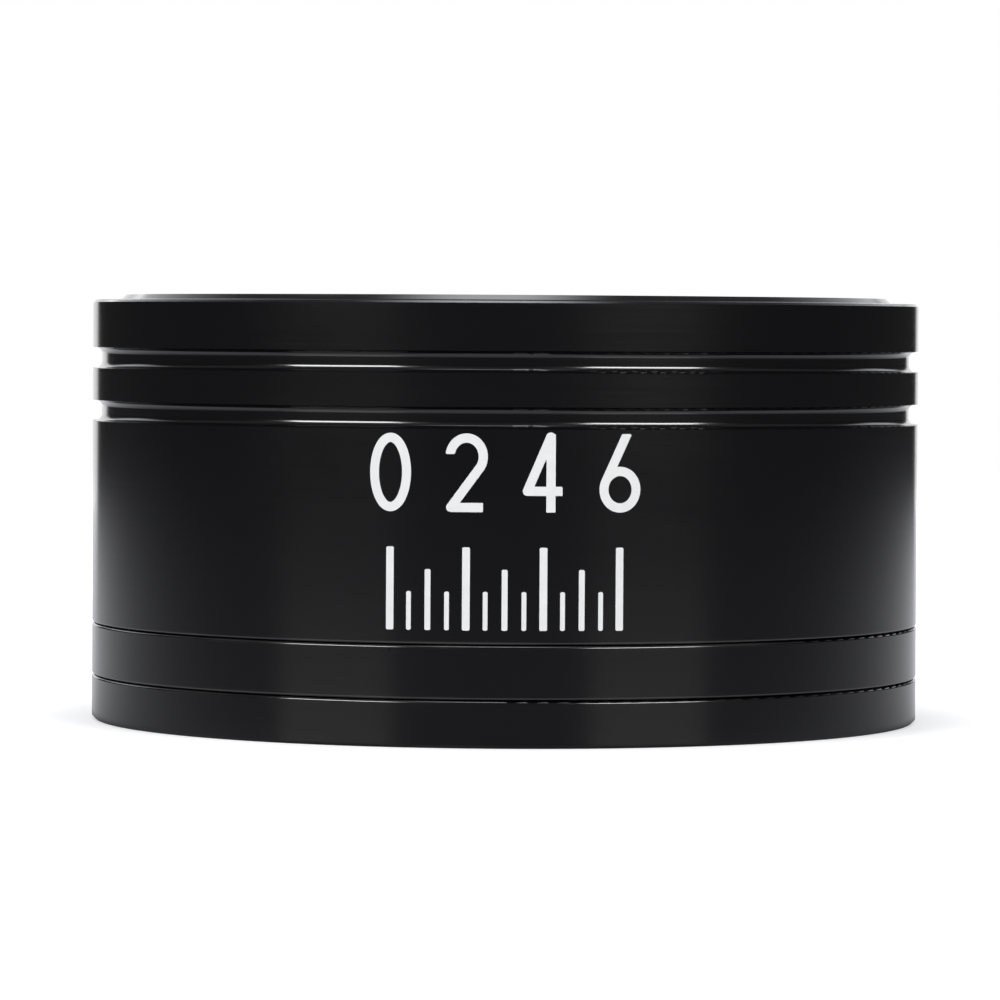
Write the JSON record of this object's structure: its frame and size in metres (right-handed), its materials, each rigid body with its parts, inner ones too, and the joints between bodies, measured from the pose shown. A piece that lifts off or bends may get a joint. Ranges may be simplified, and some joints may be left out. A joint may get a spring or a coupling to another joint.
{
  "type": "barlow lens",
  "caption": "Short round black lens barrel with grip grooves, a turning ring that extends it, recessed glass and a threaded camera end.",
  "frame": {"origin": "centre of the camera end's standing face, on the optical axis", "axes": "+Z along the optical axis from the camera end towards the front glass; the barrel's printed side faces -Y"},
  "size_m": [0.096, 0.096, 0.0491],
  "materials": {
    "black_anodised": "black anodised, satin",
    "inner_black": "black anodised, matt",
    "crown_glass": "polished with anti-reflection coating",
    "flint_glass": "polished with anti-reflection coating",
    "steel": "ground",
    "spring_steel": "blackened",
    "brass": "turned",
    "washer_plastic": "slippery plastic",
    "fibre": "vulcanised fibre",
    "o_ring_rubber": "matt",
    "felt": "felt",
    "white_print": "screen-printed ink, matt"
  },
  "bodies": {
    "drawtube": {"drawtube": "inner_black", "end_ring": "black_anodised", "end_ring_keys": "spring_steel", "drawtube_baffle": "inner_black", "baffle_snap_ring": "spring_steel", "cam_followers": "steel"},
    "barrel": {"main_barrel": "black_anodised", "stop_pin": "steel", "guide_ring": "inner_black", "guide_keys": "brass", "felt_seal": "felt", "spacer_sleeve": "inner_black", "lens_cell": "inner_black", "cell_retaining_ring": "inner_black", "cell_o_ring": "o_ring_rubber", "crown_element": "crown_glass", "flint_element": "flint_glass", "element_spacer": "brass", "front_gasket": "fibre", "front_retaining_ring": "black_anodised"},
    "adjusting_ring": {"adjusting_ring": "black_anodised", "captive_nut": "brass", "nut_lock_screws": "spring_steel", "lower_thrust_washer": "washer_plastic", "upper_thrust_washer": "washer_plastic"}
  },
  "joints": [
    {"name": "barrel_slide", "type": "slide", "parent": "drawtube", "child": "barrel", "axis": [0, 0, 1], "range_m": [0, 0.006]},
    {"name": "ring_turn", "type": "hinge", "parent": "barrel", "child": "adjusting_ring", "pos_m": [0, 0, 0.0082], "axis": [0, 0, 1], "range_deg": [0, 30]}
  ],
  "couplings": [
    {"joint": "barrel_slide", "follows": "ring_turn", "m_per_rad": 0.011459}
  ]
}
